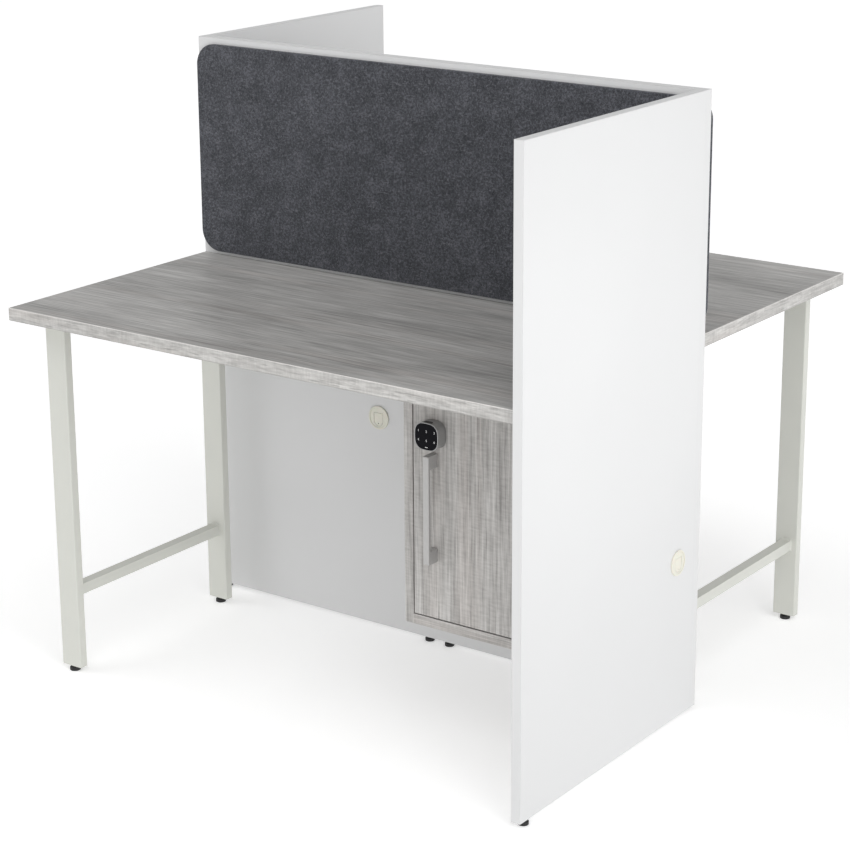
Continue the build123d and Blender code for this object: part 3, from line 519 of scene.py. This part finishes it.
# ---- Numbers printed on the keypads --------------------------------------------------------------
DIGIT_HEIGHT = 4.6 * MM
FONT_SIZE = 1.35 * DIGIT_HEIGHT
DIGIT_PITCH = 17.4 * MM
DIGIT_ROWS = ("123", "456")
PRINT_LIFT = 0.02 * MM            # how far the print stands out of the panel
ROWS_RISE = 0.8 * MM              # middle of the two rows above the middle of the panel
BAR_DROP = 20.0 * MM              # the bar below the middle of the panel
BAR_SIZE = (6.0 * MM, 1.2 * MM)
BAR_CORNER = 0.3 * MM
BAR_CORNER_STEPS = 4


def keypad_print(name, turn):
    """Six white numbers in two rows, and a small bar below them, on the face of the touch panel."""
    low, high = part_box(f"{name}_lock_keypad")
    front_y = low.y if turn == 0 else high.y
    face = Vector(((low.x + high.x) / 2, front_y, (low.z + high.z) / 2))
    facing = Matrix.Rotation(turn, 4, "Z") @ Matrix.Rotation(math.pi / 2, 4, "X")
    work = bmesh.new()
    for row, digits in enumerate(DIGIT_ROWS):
        for column, digit in enumerate(digits):
            curve = bpy.data.curves.new("digit", "FONT")
            curve.body = digit
            curve.size = FONT_SIZE
            curve.align_x = "CENTER"
            curve.align_y = "CENTER"
            curve.extrude = PRINT_LIFT
            holder = bpy.data.objects.new("digit", curve)
            bpy.context.scene.collection.objects.link(holder)
            bpy.context.view_layer.update()
            drawn = bpy.data.meshes.new_from_object(holder)
            across = (column - 1) * DIGIT_PITCH
            up = (0.5 - row) * DIGIT_PITCH + ROWS_RISE
            drawn.transform(Matrix.Translation((across, up, 0)))
            work.from_mesh(drawn)
            bpy.data.objects.remove(holder)
            bpy.data.curves.remove(curve)
            bpy.data.meshes.remove(drawn)
    outline = rounded_outline(*BAR_SIZE, BAR_CORNER, BAR_CORNER_STEPS)
    skin(work, [[work.verts.new((x, y - BAR_DROP, z)) for x, y in outline]
                for z in (-PRINT_LIFT, PRINT_LIFT)])
    bmesh.ops.transform(work, verts=work.verts, matrix=Matrix.Translation(face) @ facing)
    piece_from(work, f"{name}_keypad_numbers", f"{name}_lock", "ink")


# ---- Dark rubber cover over the notch on top of each knob ----------------------------------------
COVER_SIZE = (17 * MM, 9.5 * MM)  # across the knob and along its axis
COVER_CORNER = 2.5 * MM
COVER_FROM_FRONT = 7.2 * MM       # middle of the cover behind the knob's front
COVER_HEIGHT = 0.45 * MM          # above the knob's top
COVER_SINK = 0.6 * MM             # below it
COVER_ROUND = 0.3 * MM            # chamfer along the cover's ends
KNOB_BULGE = 2.4 * MM             # rise of the knob's top between its corners
COVER_STEPS = 24


def knob_cover(name, turn):
    """A soft black cover that follows the bulged top of the knob."""
    low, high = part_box(f"{name}_lock_knob")
    inwards = math.cos(turn)
    front_y = low.y if inwards > 0 else high.y
    place = Vector(((low.x + high.x) / 2, front_y + inwards * COVER_FROM_FRONT, high.z))
    knob_half = (high.x - low.x) / 2 - KNOB_BULGE
    half_width = COVER_SIZE[0] / 2
    half_length = COVER_SIZE[1] / 2
    work = bmesh.new()
    sections = []
    for step in range(COVER_STEPS + 1):
        x = -half_width * math.cos(math.pi * step / COVER_STEPS)
        past = max(0.0, abs(x) - (half_width - COVER_CORNER))
        reach = half_length - COVER_CORNER + math.sqrt(max(0.0, COVER_CORNER ** 2 - past ** 2))
        ground = -KNOB_BULGE * (x / knob_half) ** 2
        inset = reach - COVER_ROUND
        section = ((-reach, -COVER_SINK), (-reach, COVER_HEIGHT - COVER_ROUND), (-inset, COVER_HEIGHT),
                   (inset, COVER_HEIGHT), (reach, COVER_HEIGHT - COVER_ROUND), (reach, -COVER_SINK))
        sections.append([work.verts.new(place + Vector((x, y, ground + z))) for y, z in section])
    skin(work, sections)
    bmesh.ops.recalc_face_normals(work, faces=work.faces)
    piece_from(work, f"{name}_lock_cover", f"{name}_lock", "black_nylon")


# ---- Weld beads where each stretcher meets its legs ----------------------------------------------
STRETCHER_SIZE = 22 * MM
STRETCHER_HEIGHT = 169 * MM       # axis above the floor
STRETCHER_CORNER = 1.0 * MM
LEG_DEPTH = 19 * MM
SIDE_POINTS = 36                  # points along each side of the weld
CORNER_POINTS = 4
BEAD_SIZE = 2.8 * MM
BEAD_STEPS = 5                    # across the concave face of the bead
BEAD_SINK = 0.3 * MM              # how far the bead's back lies inside the tubes
BEAD_RIPPLE = 0.18 * MM
BEAD_RIPPLE_PITCH = 1.8 * MM
BEAD_RIPPLE_STEP = 0.5 * MM       # how far each point counts along the ripple


def square_ring(side, corner):
    """Points and outward normals round a square with round corners, evenly spread on each side."""
    points = []
    flat = side - 2 * corner
    for quarter in range(4):
        turn = Matrix.Rotation(math.pi / 2 * quarter, 2)
        for step in range(SIDE_POINTS):
            points.append((turn @ Vector((side / 2, flat * (step / SIDE_POINTS - 0.5))),
                           turn @ Vector((1, 0))))
        for step in range(CORNER_POINTS):
            angle = math.pi / 2 * step / CORNER_POINTS
            out = Vector((math.cos(angle), math.sin(angle)))
            centre = Vector((flat / 2, flat / 2))
            points.append((turn @ (centre + corner * out), turn @ out))
    return points


def weld_bead(work, place, away):
    """A concave fillet weld round the end of a stretcher; away points along the stretcher."""
    section = [(-BEAD_SINK, -BEAD_SINK, 0), (BEAD_SIZE, -BEAD_SINK, 0), (BEAD_SIZE, 0, 0)]
    for step in range(1, BEAD_STEPS):
        angle = math.pi / 2 * step / BEAD_STEPS
        section.append((BEAD_SIZE * (1 - math.sin(angle)), BEAD_SIZE * (1 - math.cos(angle)), 1))
    section += [(0, BEAD_SIZE, 0), (-BEAD_SINK, BEAD_SIZE, 0)]
    rings = []
    for count, (point, out) in enumerate(square_ring(STRETCHER_SIZE, STRETCHER_CORNER)):
        ripple = BEAD_RIPPLE * math.sin(2 * math.pi * count * BEAD_RIPPLE_STEP / BEAD_RIPPLE_PITCH)
        ring = []
        for rise, run, rippled in section:
            spot = point + out * (rise + rippled * ripple)
            along = away * (run + rippled * ripple)
            ring.append(work.verts.new(place + Vector((spot.x, along, spot.y))))
        rings.append(ring)
    skin(work, rings, closed=True)


def weld_beads(name, turn):
    """The painted welds at both ends of one leg frame's stretcher."""
    work = bmesh.new()
    for leg, away in (("outer", 1), ("inner", -1)):
        low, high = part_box(f"{name}_{leg}_leg_leveller")
        centre = (low + high) / 2
        inwards = away * math.cos(turn)
        place = Vector((centre.x, centre.y + inwards * LEG_DEPTH / 2, STRETCHER_HEIGHT))
        weld_bead(work, place, inwards)
    bmesh.ops.recalc_face_normals(work, faces=work.faces)
    for face in work.faces:
        face.smooth = True
    piece_from(work, f"{name}_weld_beads", "carrel", "painted_steel")


for make in (felt_board, keypad_print, knob_cover, weld_beads):
    for side_name, side_turn in SIDES:
        make(side_name, side_turn)


# ---- Floor, light and camera ---------------------------------------------------------------------
FLOOR_REACH = 60.0        # from its middle to its edges
FLOOR_GLOW = 0.33         # brings the floor near white, with the shade at the feet still showing


def studio_floor():
    """A wide plain floor with the faintest mottle."""
    mesh = bpy.data.meshes.new("floor")
    corners = [(x * FLOOR_REACH, y * FLOOR_REACH, 0) for x, y in ((-1, -1), (1, -1), (1, 1), (-1, 1))]
    mesh.from_pydata(corners, [], [(0, 1, 2, 3)])
    floor = bpy.data.objects.new("floor", mesh)
    bpy.context.scene.collection.objects.link(floor)
    s = Shader("floor")
    mottle = s.noise(s.place, 4.0, 3.0)
    colour = s.mix(mottle, grey(0.90), grey(0.93))
    mesh.materials.append(s.finish(colour, 0.85, s.bump(mottle, 0.0002), Specular_IOR_Level=0.1,
                                   Emission_Color=(1.0, 1.0, 1.0, 1.0), Emission_Strength=FLOOR_GLOW))


def sun(name, direction, strength, spread):
    """A distant soft light that shines along a direction. The spread is in degrees."""
    data = bpy.data.lights.new(name, "SUN")
    data.energy = strength
    data.angle = math.radians(spread)
    light = bpy.data.objects.new(name, data)
    light.rotation_mode = "QUATERNION"
    light.rotation_quaternion = Vector(direction).to_track_quat("-Z", "Y")
    bpy.context.scene.collection.objects.link(light)


SOFTBOX_SPREAD = 50       # degrees, so that the light falls off away from its target


def softbox(name, place, target, size, power):
    """A square soft light aimed at a point."""
    data = bpy.data.lights.new(name, "AREA")
    data.size = size
    data.energy = power
    data.spread = math.radians(SOFTBOX_SPREAD)
    light = bpy.data.objects.new(name, data)
    light.location = place
    light.rotation_mode = "QUATERNION"
    light.rotation_quaternion = (Vector(target) - Vector(place)).to_track_quat("-Z", "Y")
    bpy.context.scene.collection.objects.link(light)


# Strength of the surround by the sine of the elevation: full up to 2 degrees, dimmer from 15 up
HORIZON_FADE = {"From Min": 0.04, "From Max": 0.26, "To Min": 1.0, "To Max": 0.43}


def studio():
    """A surround that is white at the horizon and softer above, three soft suns and a softbox."""
    world = bpy.data.worlds.new("studio")
    world.use_nodes = True
    tree = world.node_tree
    surround = tree.nodes["Background"]
    direction = tree.nodes.new("ShaderNodeTexCoord")
    split = tree.nodes.new("ShaderNodeSeparateXYZ")
    fade = tree.nodes.new("ShaderNodeMapRange")
    for name, value in HORIZON_FADE.items():
        fade.inputs[name].default_value = value
    tree.links.new(direction.outputs["Generated"], split.inputs["Vector"])
    tree.links.new(split.outputs["Z"], fade.inputs["Value"])
    tree.links.new(fade.outputs["Result"], surround.inputs["Strength"])
    surround.inputs["Color"].default_value = (1.0, 1.0, 1.0, 1.0)
    bpy.context.scene.world = world
    sun("key", (-0.50, 0.35, -0.90), strength=0.70, spread=45)
    sun("fill", (-0.85, 0.35, -0.30), strength=0.40, spread=60)
    sun("left", (0.60, 0.45, -0.75), strength=0.55, spread=40)
    softbox("panel_light", (2.5, -1.5, 1.2), (0.6, -0.3, 0.80), size=0.9, power=1.6)
    bpy.context.scene.view_settings.view_transform = "Standard"


CAMERA_PLACE = (2.630, -3.662, 1.903)
CAMERA_YAW = 34.73        # to the left of +Y, degrees
CAMERA_PITCH = 16.33      # below the horizon, degrees
CAMERA_LENS = 98.98       # millimetres, as is the sensor's width
CAMERA_SENSOR = 36.0
CAMERA_SHIFT = (-0.06, -0.06)
CAMERA_REACH = 200.0      # metres, past the end of the floor


def photo_camera():
    """A long lens from the front right, above the screen's top."""
    data = bpy.data.cameras.new("camera")
    data.lens = CAMERA_LENS
    data.sensor_width = CAMERA_SENSOR
    data.shift_x, data.shift_y = CAMERA_SHIFT
    data.clip_end = CAMERA_REACH
    camera = bpy.data.objects.new("camera", data)
    camera.location = CAMERA_PLACE
    camera.rotation_euler = (math.radians(90 - CAMERA_PITCH), 0, math.radians(CAMERA_YAW))
    bpy.context.scene.collection.objects.link(camera)
    bpy.context.scene.camera = camera


studio_floor()
studio()
photo_camera()
